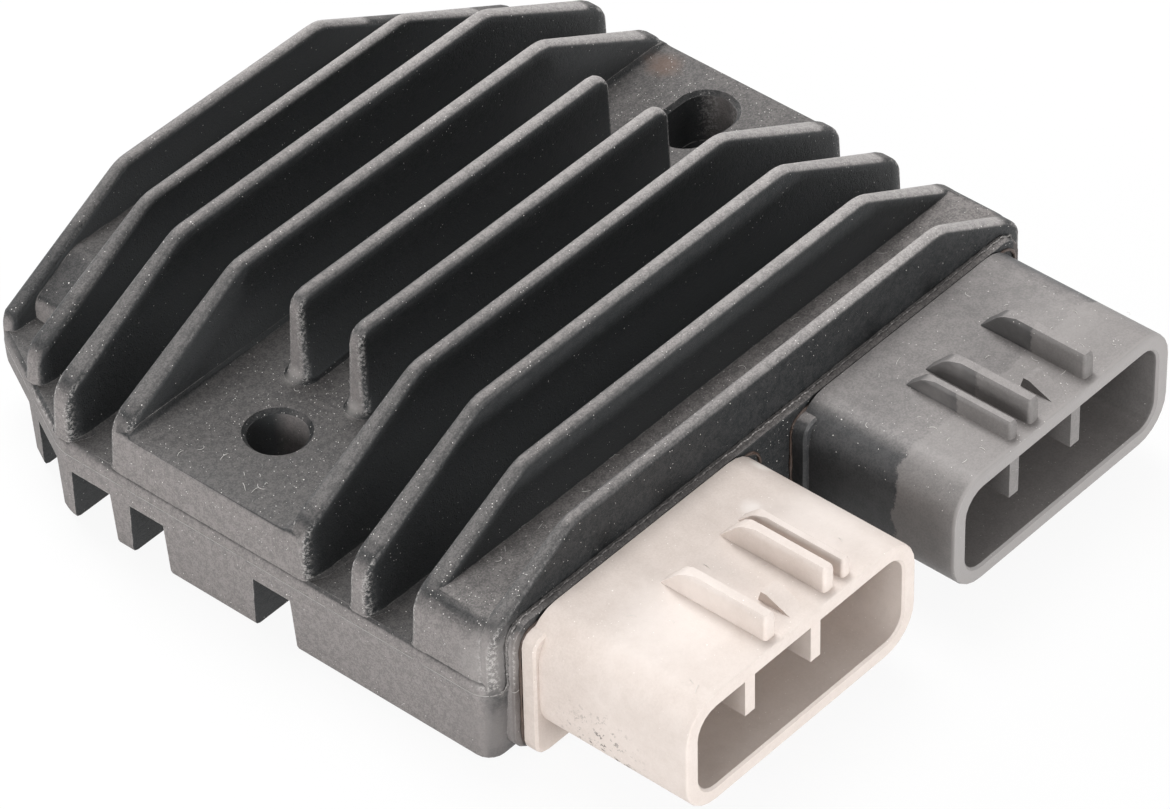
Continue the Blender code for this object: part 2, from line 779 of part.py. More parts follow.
def terminal_strip(name, x, clearance):
    """Blade, leg and tail as one strip bent in the Y-Z plane, or the room around it."""
    half = blade_thickness / 2 + clearance
    tip_half = half if clearance else half * blade_tip_share
    tip_y = mouth_y + blade_from_mouth - clearance
    leg_y = terminal_leg_y()
    tail_z = tail_center_z()
    tail_y = leg_y + tail_length + clearance
    wide = blade_width / 2 + clearance
    narrow = tail_width / 2 + clearance
    sections = [(wide - blade_tip_taper, (tip_y, blade_z - tip_half), (tip_y, blade_z + tip_half)),
                (wide, (tip_y + blade_tip_taper, blade_z - half),
                 (tip_y + blade_tip_taper, blade_z + half)),
                (wide, (spigot_rear_y, blade_z - half), (spigot_rear_y, blade_z + half)),
                (narrow, (leg_y - leg_from_spigot, blade_z - half),
                 (leg_y - leg_from_spigot, blade_z + half)),
                (narrow, (leg_y - half, blade_z - half), (leg_y + half, blade_z + half)),
                (narrow, (leg_y - half, tail_z - half), (leg_y + half, tail_z + half)),
                (narrow, (tail_y, tail_z - half), (tail_y, tail_z + half))]
    rings = []
    for reach, (low_y, low_z), (high_y, high_z) in sections:
        rings.append([(x - reach, low_y, low_z), (x + reach, low_y, low_z),
                      (x + reach, high_y, high_z), (x - reach, high_y, high_z)])
    return loft(name, rings)


def build_shell(name, side, key_side, key_spacing, color):
    center = side * connector_x
    outer = rectangle(center - shell_half_width, center + shell_half_width,
                      shell_z - shell_half_height, shell_z + shell_half_height)
    radii = [shell_corner_radius] * 4
    steps = [6] * 4
    shell = stack_y(name, outer, radii, steps,
                    [(mouth_y, shell_rim_round),
                     (mouth_y + 0.3 * shell_rim_round, 0.3 * shell_rim_round),
                     (mouth_y + shell_rim_round, 0),
                     (flange_back_y - least / 10, 0)])
    flange = stack_y("flange", rectangle(center - flange_half_width, center + flange_half_width,
                                         flange_bottom_z, flange_top_z),
                     flange_corner_radii, [3, 3, 5, 3],
                     [(flange_front_y, flange_edge_round),
                      (flange_front_y + flange_edge_round, 0), (flange_back_y, 0)])
    spigot = stack_y("spigot", spigot_corners(side, 0),
                     [shell_corner_radius - spigot_inset] * 4, [4] * 4,
                     [(flange_front_y + flange_thickness / 3, 0), (spigot_rear_y, 0)])
    ribs = make_top_ribs(center, key_side, key_spacing)
    boolean(shell, "UNION", [flange, spigot, make_latch(center)] + ribs)

    wall = shell_wall
    socket = stack_y("socket", rectangle(center - shell_half_width + wall,
                                         center + shell_half_width - wall,
                                         shell_z - shell_half_height + wall,
                                         shell_z + shell_half_height - wall),
                     [shell_corner_radius - wall] * 4, [5] * 4,
                     [(mouth_y - wall, -socket_mouth_chamfer - wall),
                      (mouth_y + socket_mouth_chamfer, 0), (socket_floor_y, 0)])
    slots = [terminal_strip("terminal_slot", x, gap) for x in terminal_places(side)]
    boolean(shell, "DIFFERENCE", [socket] + slots)
    boolean(shell, "UNION", make_guide_ribs(side))
    shell.modifiers[-1].name = "Guides"
    return finish(shell, make_material(name + "_plastic", color, 0.55))


# Terminals

def build_terminals(name, side):
    material_colors = (0.62, 0.58, 0.5)
    for k, x in enumerate(terminal_places(side)):
        label = "%s_terminal_%d" % (name, k + 1)
        strip = terminal_strip(label, x, 0)
        finish(strip, make_material(label + "_tin", material_colors, 0.35, 0.9))


# Circuit in the pocket

def film_top_z():
    return pocket_ceiling_z - gap


def substrate_top_z():
    return film_top_z() - film_thickness - gap


def parts_top_z():
    return substrate_top_z() - substrate_thickness - gap


def tail_center_z():
    return parts_top_z() - blade_thickness / 2


def substrate_corners():
    side = half_width - pocket_wall - parting_z * lower_draft - substrate_margin
    return (-side, side, pocket_front_y + bay_depth + substrate_front_setback,
            pocket_rear_y - substrate_margin / 2)


def circuit_parts():
    """Name, centre and size of each piece on the substrate."""
    x_high, y_high = substrate_corners()[1::2]
    row_y = terminal_leg_y() + tail_length + part_spacing + transistor_size[1] / 2
    row_half = x_high - transistor_margin - transistor_size[0] / 2
    pitch = 2 * row_half / (transistor_count - 1)
    parts = []
    for k in range(transistor_count):
        parts.append(("mosfet_%d" % (k + 1), k * pitch - row_half, row_y, transistor_size))
    small_y = (row_y + transistor_size[1] / 2 + y_high) / 2
    parts.append(("control_chip", -pitch / 2, small_y, chip_size))
    parts.append(("sense_resistor", pitch / 2, small_y, resistor_size))
    parts.append(("filter_capacitor_1", -row_half, small_y, capacitor_size))
    parts.append(("filter_capacitor_2", row_half, small_y, capacitor_size))
    return parts


def part_box(name, x, y, size, clearance, top):
    return box(name, x - size[0] / 2 - clearance, x + size[0] / 2 + clearance,
               y - size[1] / 2 - clearance, y + size[1] / 2 + clearance,
               parts_top_z() - size[2] - clearance, top)


def build_circuit():
    x_low, x_high, y_low, y_high = substrate_corners()
    film = box("thermal_film", x_low, x_high, y_low, y_high,
               film_top_z() - film_thickness, film_top_z())
    finish(film, make_material("film", (0.55, 0.6, 0.62), 0.7))
    board = box("power_substrate", x_low, x_high, y_low, y_high,
                substrate_top_z() - substrate_thickness, substrate_top_z())
    finish(board, make_material("substrate", (0.05, 0.22, 0.12), 0.5))
    for name, x, y, size in circuit_parts():
        piece = part_box(name, x, y, size, 0, parts_top_z())
        finish(piece, make_material(name + "_body", (0.04, 0.04, 0.045), 0.5))


def build_resin():
    """Resin that fills the pocket below the circuit and the bay behind the connectors."""
    top = parts_top_z()
    resin = stack_z("potting_resin", pocket_corners(gap), [pocket_corner_radius - gap] * 4,
                    [4] * 4, [(resin_face_z, 0), (top, 0)])
    tongue = box("tongue", -bay_half_width + gap, bay_half_width - gap,
                 spigot_rear_y + gap, pocket_front_y + bay_depth - gap,
                 top - cut_past, bay_ceiling_z - gap)
    boolean(resin, "UNION", [tongue])
    cuts = [part_box("room", x, y, size, gap, top + cut_past)
            for _, x, y, size in circuit_parts()]
    for side in (-1, 1):
        cuts.append(stack_y("spigot_room", spigot_corners(side, gap),
                            [shell_corner_radius - spigot_inset + gap] * 4, [4] * 4,
                            [(pocket_front_y - cut_past, 0), (spigot_rear_y + gap, 0)]))
        cuts += [terminal_strip("leg_room", x, gap) for x in terminal_places(side)]
    boolean(resin, "DIFFERENCE", cuts)
    return finish(resin, make_material("resin", (0.012, 0.012, 0.013), 0.25))


clear_scene()
build_housing()
build_shell("output_connector_shell", -1, 1, output_key_spacing, (0.74, 0.69, 0.65))
build_shell("stator_connector_shell", 1, -1, stator_key_spacing, (0.09, 0.085, 0.08))
build_terminals("output", -1)
build_terminals("stator", 1)
build_circuit()
build_resin()
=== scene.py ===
import math
import bmesh
import bpy
import numpy as np
from mathutils import Matrix, Vector


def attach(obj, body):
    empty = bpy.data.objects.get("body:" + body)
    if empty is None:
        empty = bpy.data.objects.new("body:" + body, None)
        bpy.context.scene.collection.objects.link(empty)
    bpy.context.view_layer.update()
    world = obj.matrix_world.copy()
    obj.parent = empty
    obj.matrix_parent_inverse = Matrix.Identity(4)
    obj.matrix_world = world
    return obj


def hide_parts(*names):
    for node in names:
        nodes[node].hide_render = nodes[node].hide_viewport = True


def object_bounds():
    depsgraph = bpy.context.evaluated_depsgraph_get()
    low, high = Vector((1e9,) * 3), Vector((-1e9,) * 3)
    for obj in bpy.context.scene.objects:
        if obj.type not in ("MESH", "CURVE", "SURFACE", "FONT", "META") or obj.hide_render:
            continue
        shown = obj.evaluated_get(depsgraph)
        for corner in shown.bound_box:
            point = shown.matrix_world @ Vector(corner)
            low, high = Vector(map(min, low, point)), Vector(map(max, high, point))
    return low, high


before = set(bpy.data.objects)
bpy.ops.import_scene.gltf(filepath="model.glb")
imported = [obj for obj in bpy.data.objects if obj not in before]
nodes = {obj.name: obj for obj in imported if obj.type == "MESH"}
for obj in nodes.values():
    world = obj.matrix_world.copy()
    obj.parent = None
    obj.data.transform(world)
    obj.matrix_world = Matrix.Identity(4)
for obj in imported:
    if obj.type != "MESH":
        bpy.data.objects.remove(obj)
loadedBounds = [list(corner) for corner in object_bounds()]
mm = 0.001

# places on the casting and the sockets that the finishes and the added pieces refer to, in mm
places = {
    "seamZ": 10.6, "valleyZ": 12.4, "padZ": 18.2, "roofZ": 20.4, "shellTopZ": 20.23,
    "wallY": -31.75, "frameY": -32.75, "mouthY": -56.85, "frameHalf": 46.2, "frameTop": 19.9,
    "flangeHalf": 21.1, "flangeTop": 18.8, "flangeBottom": 0.7, "connectorX": 24.0,
    "holeX": -36.4, "slotX": 39.45, "mountY": 12.55,
}

# the photographed view: degrees round the object, mm in the picture's own axes, and the lens
view = {
    "turn": -48.29, "rise": 41.04, "roll": -1.3,
    "sideways": 12.81, "upwards": -9.12, "distance": 817.3, "aimFromRear": 44.3, "aimHeight": 10.6,
    "focalPixels": 6769.8, "centerPixels": (591.83, 401.02), "pictureSize": (1170, 809),
    "sensorWidth": 36, "clipStart": 0.05, "clipEnd": 20,
}


def placeCamera():
    turn, rise, roll = (math.radians(view[key]) for key in ("turn", "rise", "roll"))
    back = Vector((math.sin(turn) * math.cos(rise), -math.cos(turn) * math.cos(rise), math.sin(rise)))
    right = Vector((math.cos(turn), math.sin(turn), 0))
    up = back.cross(right)
    right, up = (math.cos(roll) * right + math.sin(roll) * up,
                 math.cos(roll) * up - math.sin(roll) * right)
    aim = Vector((0, loadedBounds[1][1] / mm - view["aimFromRear"], view["aimHeight"]))
    spot = aim + back * view["distance"] + right * view["sideways"] + up * view["upwards"]
    pose = Matrix((right, up, back)).transposed().to_4x4()
    pose.translation = spot * mm
    lens = bpy.data.cameras.new("productCamera")
    width, height = view["pictureSize"]
    lens.sensor_width = view["sensorWidth"]
    lens.lens = view["focalPixels"] / width * lens.sensor_width
    lens.shift_x = (width / 2 - view["centerPixels"][0]) / width
    lens.shift_y = (view["centerPixels"][1] - height / 2) / width
    lens.clip_start, lens.clip_end = view["clipStart"], view["clipEnd"]
    camera = bpy.data.objects.new("productCamera", lens)
    bpy.context.scene.collection.objects.link(camera)
    camera.matrix_world = pose
    bpy.context.scene.camera = camera


# soft boxes: place and aim in metres, size in metres, power in watts
softboxes = {
    "overheadSoftbox": {"spot": (0.25, 0.35, 1.1), "aim": (0, 0, 0), "size": 0.7, "power": 9.5},
    "rearSoftbox": {"spot": (0.35, 1.15, 0.55), "aim": (0, 0, 0.01), "size": 0.6, "power": 8.5},
    "leftSoftbox": {"spot": (-1.1, -0.1, 0.3), "aim": (0, 0, 0.01), "size": 0.7, "power": 7.2},
    "frontFill": {"spot": (0.0, -1.15, 0.12), "aim": (0, 0, 0.02), "size": 0.3, "power": 8.5},
}


def placeSoftboxes():
    for name, box in softboxes.items():
        lamp = bpy.data.lights.new(name, "AREA")
        lamp.shape = "DISK"
        lamp.size = box["size"]
        lamp.energy = box["power"]
        holder = bpy.data.objects.new(name, lamp)
        bpy.context.scene.collection.objects.link(holder)
        holder.location = box["spot"]
        holder.rotation_mode = "QUATERNION"
        direction = Vector(box["aim"]) - Vector(box["spot"])
        holder.rotation_quaternion = direction.to_track_quat("-Z", "Y")
        holder.visible_camera = False


def feed(tree, value, socket):
    # a number or a colour is written into the socket, an output is linked to it
    if isinstance(value, bpy.types.NodeSocket):
        tree.links.new(value, socket)
    elif isinstance(value, tuple) and len(value) == 3 and socket.type == "RGBA":
        socket.default_value = (*value, 1)
    else:
        socket.default_value = value


def mathNode(tree, operation, *values):
    node = tree.nodes.new("ShaderNodeMath")
    node.operation = operation
    for value, socket in zip(values, node.inputs):
        feed(tree, value, socket)
    return node.outputs[0]


def product(tree, value, *factors):
    for factor in factors:
        value = mathNode(tree, "MULTIPLY", value, factor)
    return value


def rangeNode(tree, value, low, high, toLow=0.0, toHigh=1.0):
    # smooth step: toLow where the value is at low, toHigh where it is at high
    node = tree.nodes.new("ShaderNodeMapRange")
    node.interpolation_type = "SMOOTHSTEP"
    for label, number in (("Value", value), ("From Min", low), ("From Max", high),
                          ("To Min", toLow), ("To Max", toHigh)):
        feed(tree, number, node.inputs[label])
    return node.outputs["Result"]


def lengthRange(tree, value, low, high, toLow=0.0, toHigh=1.0):
    # the same between two lengths in mm
    return rangeNode(tree, value, low * mm, high * mm, toLow, toHigh)


def noiseNode(tree, place, scale, detail, roughness):
    node = tree.nodes.new("ShaderNodeTexNoise")
    node.inputs["Detail"].default_value = detail
    node.inputs["Roughness"].default_value = roughness
    feed(tree, scale, node.inputs["Scale"])
    tree.links.new(place, node.inputs["Vector"])
    return node.outputs["Fac"]


def mixColor(tree, share, first, second):
    node = tree.nodes.new("ShaderNodeMix")
    node.data_type = "RGBA"
    # the colour sockets of this node are 0, 6 and 7, and its colour output is 2
    for value, socket in ((share, node.inputs[0]), (first, node.inputs[6]), (second, node.inputs[7])):
        feed(tree, value, socket)
    return node.outputs[2]


def splitVector(tree, vector):
    node = tree.nodes.new("ShaderNodeSeparateXYZ")
    tree.links.new(vector, node.inputs["Vector"])
    return node.outputs["X"], node.outputs["Y"], node.outputs["Z"]


# floor half width in metres and its height in mm
studio = {"worldStrength": 0.35, "paper": (0.82, 0.82, 0.82), "paperRoughness": 0.9,
          "paperShine": 0.1, "glowShare": 0.92, "reach": 3.0, "floorZ": -0.05}


def seenAsBackdrop(tree):
    # 1 for the camera's own rays, reflections and rays through clear parts, otherwise 0
    rays = tree.nodes.new("ShaderNodeLightPath")
    mirrored = mathNode(tree, "MAXIMUM", rays.outputs["Is Glossy Ray"],
                        rays.outputs["Is Transmission Ray"])
    return mathNode(tree, "MAXIMUM", rays.outputs["Is Camera Ray"], mirrored)


def makeWhiteWorld():
    world = bpy.data.worlds.new("studioWorld")
    bpy.context.scene.world = world
    world.use_nodes = True
    tree = world.node_tree
    background = tree.nodes["Background"]
    background.inputs["Color"].default_value = (1, 1, 1, 1)
    level = rangeNode(tree, seenAsBackdrop(tree), 0, 1, studio["worldStrength"], 1.0)
    tree.links.new(level, background.inputs["Strength"])


def makeFloor():
    reach, height = studio["reach"], studio["floorZ"] * mm
    mesh = bpy.data.meshes.new("paperFloor")
    mesh.from_pydata([(-reach, -reach, height), (reach, -reach, height),
                      (reach, reach, height), (-reach, reach, height)], [], [(0, 1, 2, 3)])
    floor = bpy.data.objects.new("paperFloor", mesh)
    bpy.context.scene.collection.objects.link(floor)
    paper = bpy.data.materials.new("studioPaper")
    paper.use_nodes = True
    tree = paper.node_tree
    shader = tree.nodes["Principled BSDF"]
    shader.inputs["Base Color"].default_value = (*studio["paper"], 1)
    shader.inputs["Roughness"].default_value = studio["paperRoughness"]
    shader.inputs["Specular IOR Level"].default_value = studio["paperShine"]
    glow = tree.nodes.new("ShaderNodeEmission")
    mix = tree.nodes.new("ShaderNodeMixShader")
    share = product(tree, seenAsBackdrop(tree), studio["glowShare"])
    tree.links.new(share, mix.inputs["Fac"])
    tree.links.new(shader.outputs["BSDF"], mix.inputs[1])
    tree.links.new(glow.outputs["Emission"], mix.inputs[2])
    tree.links.new(mix.outputs["Shader"], tree.nodes["Material Output"].inputs["Surface"])
    mesh.materials.append(paper)


# In the dictionaries of the finishes a Noise is scale, detail and roughness, and a Detail leaves
# out the scale. A Range is from low to high in mm and a Span the same without a unit, both
# followed by the two numbers that low and high turn into, where these aren't 0 and 1. InGrain
# and InCloud are the factors at the darkest and the palest tone of the grain or the clouds,
# and the second one is 1 where it isn't given.

def startGroup(name, inputs, outputs):
    group = bpy.data.node_groups.new(name, "ShaderNodeTree")
    group.interface.new_socket("Place", in_out="INPUT", socket_type="NodeSocketVector")
    for label, value in inputs.items():
        kind = "Vector" if isinstance(value, tuple) else "Float"
        socket = group.interface.new_socket(label, in_out="INPUT", socket_type="NodeSocket" + kind)
        socket.default_value = value
    for label in outputs:
        group.interface.new_socket(label, in_out="OUTPUT", socket_type="NodeSocketFloat")
    into = group.nodes.new("NodeGroupInput").outputs
    return group, into, group.nodes.new("NodeGroupOutput").inputs


def placeGroup(tree, group, place, values):
    node = tree.nodes.new("ShaderNodeGroup")
    node.node_tree = group
    tree.links.new(place, node.inputs["Place"])
    for label, value in values.items():
        feed(tree, value, node.inputs[label])
    return node.outputs


def cellsNode(tree, place, scale):
    node = tree.nodes.new("ShaderNodeTexVoronoi")
    tree.links.new(place, node.inputs["Vector"])
    tree.links.new(scale, node.inputs["Scale"])
    return node.outputs["Distance"], node.outputs["Color"]


grain = {
    "inputs": {"Fine": 4200.0, "Coarse": 900.0, "Pits": 0.3},
    "fineDetail": (3.0, 0.75), "coarseDetail": (5.0, 0.6), "pitSpan": (0.05, 0.25, -1.0, 0.0),
    "fineTone": 0.65, "coarseTone": 0.35,
}


def makeGrainGroup():
    # sandy relief of a casting or moulding: two sizes of noise and scattered pits
    group, into, out = startGroup("surfaceGrain", grain["inputs"], ("Height", "Tone"))
    fine = noiseNode(group, into["Place"], into["Fine"], *grain["fineDetail"])
    coarse = noiseNode(group, into["Place"], into["Coarse"], *grain["coarseDetail"])
    distance = cellsNode(group, into["Place"], into["Coarse"])[0]
    sunk = product(group, rangeNode(group, distance, *grain["pitSpan"]), into["Pits"])
    relief = mathNode(group, "ADD", fine, coarse)
    group.links.new(mathNode(group, "ADD", relief, sunk), out["Height"])
    fineTone = product(group, fine, grain["fineTone"])
    tone = mathNode(group, "MULTIPLY_ADD", coarse, grain["coarseTone"], fineTone)
    group.links.new(tone, out["Tone"])
    return group


dustAndTopLight = {
    "inputs": {"Drift": 70.0, "Speck Scale": 2600.0, "Speck Size": 0.14, "Speck Share": 0.3},
    "driftDetail": (6.0, 0.65), "filmDriftSpan": (0.25, 0.75, 0.75, 1.0),
    "levelSpan": (0.8, 1.0), "levelFilm": 0.9, "slopeSpan": (0.15, 0.7), "slopeFilm": 0.1,
    "speckLeanSpan": (0.0, 0.8, 0.3, 1.0), "speckDriftSpan": (0.35, 0.7, 0.35, 2.0),
    # many fine specks and fewer large ones: scale, share and width
    "speckKinds": ((1.0, 1.0, 1.0), (0.5, 0.22, 0.75)), "smallest": 0.5, "largest": 1.2,
}


def makeDustAndTopLightGroup():
    # dust that lies on upward faces and also paints light onto the tops, and loose specks that cling
    # everywhere but gather in drifts
    group, into, out = startGroup("settledDustAndTopLight", dustAndTopLight["inputs"], ("FilmAndTopLight", "Specks"))
    face = group.nodes.new("ShaderNodeNewGeometry")
    lean = splitVector(group, face.outputs["Normal"])[2]
    drift = noiseNode(group, into["Place"], into["Drift"], *dustAndTopLight["driftDetail"])
    sloping = product(group, rangeNode(group, lean, *dustAndTopLight["slopeSpan"]), dustAndTopLight["slopeFilm"])
    upward = mathNode(group, "MULTIPLY_ADD", rangeNode(group, lean, *dustAndTopLight["levelSpan"]),
                      dustAndTopLight["levelFilm"], sloping)
    film = product(group, upward, rangeNode(group, drift, *dustAndTopLight["filmDriftSpan"]))
    group.links.new(film, out["FilmAndTopLight"])
    found = None
    for scale, rarer, width in dustAndTopLight["speckKinds"]:
        distance, chance = cellsNode(group, into["Place"], product(group, into["Speck Scale"], scale))
        chances = group.nodes.new("ShaderNodeSeparateColor")
        group.links.new(chance, chances.inputs["Color"])
        share = product(group, into["Speck Share"], rarer,
                        rangeNode(group, lean, *dustAndTopLight["speckLeanSpan"]),
                        rangeNode(group, drift, *dustAndTopLight["speckDriftSpan"]))
        swelling = rangeNode(group, chances.outputs["Green"], 0.0, 1.0,
                             dustAndTopLight["smallest"] * width, dustAndTopLight["largest"] * width)
        inside = mathNode(group, "LESS_THAN", distance, product(group, into["Speck Size"], swelling))
        chosen = mathNode(group, "LESS_THAN", chances.outputs["Red"], share)
        dots = product(group, inside, chosen)
        found = dots if found is None else mathNode(group, "MAXIMUM", found, dots)
    group.links.new(found, out["Specks"])
    return group


edgeWearAndLight = {
    "inputs": {"Noise": 500.0, "Low": 0.02, "High": 0.2}, "radius": 0.35, "samples": 6,
    "noiseDetail": (5.0, 0.7), "brokenSpan": (0.4, 0.65),
}


def makeEdgeGroup():
    # worn edges with a painted highlight: how far the rounded normal leans from the true one, broken
    # up by noise
    group, into, out = startGroup("wornAndLitEdges", edgeWearAndLight["inputs"], ("WornAndLit",))
    rounded = group.nodes.new("ShaderNodeBevel")
    rounded.samples = edgeWearAndLight["samples"]
    rounded.inputs["Radius"].default_value = edgeWearAndLight["radius"] * mm
    face = group.nodes.new("ShaderNodeNewGeometry")
    along = group.nodes.new("ShaderNodeVectorMath")
    along.operation = "DOT_PRODUCT"
    group.links.new(rounded.outputs["Normal"], along.inputs[0])
    group.links.new(face.outputs["Normal"], along.inputs[1])
    bent = rangeNode(group, mathNode(group, "SUBTRACT", 1.0, along.outputs["Value"]),
                     into["Low"], into["High"])
    torn = noiseNode(group, into["Place"], into["Noise"], *edgeWearAndLight["noiseDetail"])
    group.links.new(product(group, bent, rangeNode(group, torn, *edgeWearAndLight["brokenSpan"])),
                    out["WornAndLit"])
    return group


patch = {
    "inputs": {"Center": (0.0, 0.0, 0.0), "Radius": 0.004, "Noise": 450.0},
    "noiseDetail": (9.0, 0.75), "raggedness": 0.9, "fadeSpan": (0.6, 1.4, 1.0, 0.0),
}


def makePatchGroup():
    # one local patch: full at a point, gone a radius away, with a ragged edge
    group, into, out = startGroup("localPatch", patch["inputs"], ("Patch",))
    reach = group.nodes.new("ShaderNodeVectorMath")
    reach.operation = "DISTANCE"
    group.links.new(into["Place"], reach.inputs[0])
    group.links.new(into["Center"], reach.inputs[1])
    away = mathNode(group, "DIVIDE", reach.outputs["Value"], into["Radius"])
    torn = noiseNode(group, into["Place"], into["Noise"], *patch["noiseDetail"])
    ragged = mathNode(group, "MULTIPLY_ADD", torn, patch["raggedness"], away)
    group.links.new(rangeNode(group, ragged, *patch["fadeSpan"]), out["Patch"])
    return group


surfaceGrain = makeGrainGroup()
settledDustAndTopLight = makeDustAndTopLightGroup()
wornAndLitEdges = makeEdgeGroup()
localPatch = makePatchGroup()
print("stage: shader groups are ready")


def startMaterial(name, roughness, metallic=0.0, shine=0.5):
    material = bpy.data.materials.new(name)
    material.use_nodes = True
    tree = material.node_tree
    shader = tree.nodes["Principled BSDF"]
    shader.inputs["Roughness"].default_value = roughness
    shader.inputs["Metallic"].default_value = metallic
    shader.inputs["Specular IOR Level"].default_value = shine
    return material, tree, shader, tree.nodes.new("ShaderNodeTexCoord").outputs["Object"]


def addBump(tree, shader, height, strength, depth):
    bump = tree.nodes.new("ShaderNodeBump")
    bump.inputs["Strength"].default_value = strength
    bump.inputs["Distance"].default_value = depth * mm
    tree.links.new(height, bump.inputs["Height"])
    tree.links.new(bump.outputs["Normal"], shader.inputs["Normal"])


def placePatch(tree, place, center, radius, noise=patch["inputs"]["Noise"]):
    # mask of one local patch, with its centre and radius in mm
    values = {"Center": [value * mm for value in center], "Radius": radius * mm, "Noise": noise}
    return placeGroup(tree, localPatch, place, values)["Patch"]


def paintPatches(tree, place, color, patches):
    # each patch: centre in mm, radius in mm, strength, colour
    for center, radius, strength, tint in patches:
        spot = placePatch(tree, place, center, radius)
        color = mixColor(tree, product(tree, spot, strength), color, tint)
    return color


def startSurface(name, look):
    # what the casting and the sockets share: grain, settled dust with its drifts and painted top
    # light, worn edges with a painted highlight
    material, tree, shader, place = startMaterial(name, look["roughness"], shine=look["shine"])
    grains = placeGroup(tree, surfaceGrain, place, look["grains"])
    share = look["speckShare"]
    for center, radius, extra in look["drifts"]:
        spot = placePatch(tree, place, center, radius, look["driftNoise"])
        share = mathNode(tree, "MULTIPLY_ADD", spot, extra, share)
    fall = placeGroup(tree, settledDustAndTopLight, place, {"Drift": look["driftScale"], "Speck Share": share})
    marks = {"relief": grains["Height"], "film": fall["FilmAndTopLight"], "specks": fall["Specks"],
             "sandy": rangeNode(tree, grains["Tone"], *look["sandySpan"]),
             "wornAndLit": placeGroup(tree, wornAndLitEdges, place, {})["WornAndLit"]}
    return material, tree, shader, place, marks


def grainShare(tree, marks, low, high=1.0):
    # a factor that rises from low to high with the tone of the grain
    return rangeNode(tree, marks["sandy"], 0.0, 1.0, low, high)


def finishSurface(tree, shader, marks, look, color, relief):
    # loose specks lie on top of everything else
    color = mixColor(tree, marks["specks"], color, look["speck"])
    tree.links.new(color, shader.inputs["Base Color"])
    addBump(tree, shader, relief, look["bump"], look["bumpDepth"])


casting = {
    "roughness": 0.52, "filmAndSheenRoughness": 0.7, "shine": 0.3, "bump": 1.0, "bumpDepth": 0.085,
    "grains": {"Fine": 4200.0, "Coarse": 1100.0, "Pits": 0.5}, "sandySpan": (0.41, 0.59),
    "bareLow": (0.010, 0.012, 0.013), "bareHigh": (0.032, 0.032, 0.033),
    # where loose specks gather: centre, radius, extra share
    "speckShare": 0.3, "speck": (0.85, 0.82, 0.79), "driftScale": 70.0, "driftNoise": 150.0,
    "drifts": [((-31.0, 16.0, 18.2), 12.0, 0.5), ((-36.4, 9.0, 18.2), 8.0, 0.4),
               ((39.0, 18.0, 18.2), 11.0, 0.4), ((-38.0, -22.0, 20.0), 14.0, 0.5)],
    # painted light that lifts the shade deep inside the channels: behind the front wall, then by
    # side, height and lean
    "innerPaintedLight": (0.105, 0.110, 0.113),
    "innerRange": (places["wallY"] + 0.6, places["wallY"] + 1.2, 0.0, 0.9),
    "innerSideRange": (26.0, 44.0, 1.0, 0.25), "innerHeightRange": (20.0, 29.0, 1.0, 0.12),
    "innerLeanSpan": (0.3, 0.6, 1.0, 0.0),
    # painted sheen on the end faces
    "endSheenColor": (0.27, 0.248, 0.241), "endLeanSpan": (0.6, 1.0), "sheenInGrain": 0.62,
    # the film of dust and painted top light is weaker on the pads and the channel floors than higher
    # up, and weaker on the left as painted light from the right
    "dustAndTopLight": (0.26, 0.24, 0.232), "dustAndLightInGrain": 0.5, "filmHeightRange": (18.6, 19.4, 0.52, 1.0),
    "paintedLightSideRange": (-45.0, 45.0, 0.8, 1.15),
    # ridges of the fins, worn and with a painted highlight, paler toward the right as painted light
    # from the right
    "ridge": (0.46, 0.435, 0.425), "ridgeInGrain": 0.6, "ridgeHeightRange": (20.6, 21.2),
    "ridgeSideRange": (-30.0, 35.0, 0.12, 0.8), "ridgeLeanSpan": (0.35, 0.75),
    # brown tint at both ends of the frame round the sockets
    "frameTint": (0.10, 0.082, 0.075), "frameSideRange": (44.8, 45.2),
    "frameRange": (places["frameY"] + 0.6, places["frameY"] + 0.3, 0.0, 0.7),
    # a stain on the slot's pad, painted light that makes the front corner pale, and the short fins'
    # rubbed left feet with a painted highlight
    "patches": [((45.0, 22.5, 18.2), 3.5, 0.5, (0.20, 0.12, 0.085)),
                # painted light on the front corner
                ((-47.4, -31.2, 4.5), 8.0, 0.6, (0.22, 0.203, 0.197)),
                ((-47.2, -31.2, 15.0), 7.5, 0.5, (0.34, 0.32, 0.31)),
                # rubbed feet of the short fins with a painted highlight
                ((-28.3, 17.3, 18.8), 1.8, 0.45, (0.42, 0.40, 0.385)),
                ((-28.3, 7.8, 18.8), 1.8, 0.45, (0.42, 0.40, 0.385))],
    # edges are worn and carry a painted highlight, most of all where the fins run out at either end
    "wornAndLit": (0.48, 0.46, 0.445), "wornAndLitSideRange": (38.0, 48.0, 0.55, 0.88),
    # painted sparkle on the worn upright rounds at the fins' ends
    "turnSpan": (0.15, 0.4), "fleckNoise": (2300.0, 4.0, 0.8), "fleckSpan": (0.48, 0.58, 0.0, 0.7),
    "sparkleSideRange": (43.0, 45.0), "overSeamRange": (11.0, 11.8), "overPadRange": (18.3, 18.6),
    # bright broken line on the upright faces where the two halves of the mould met
    "seamRange": (0.0, 0.16, 1.0, 0.0), "seamNoise": (260.0, 6.0, 0.7), "seamSpan": (0.36, 0.5),
    "uprightSpan": (0.2, 0.5, 1.0, 0.0), "seamRelief": 2.0,
}


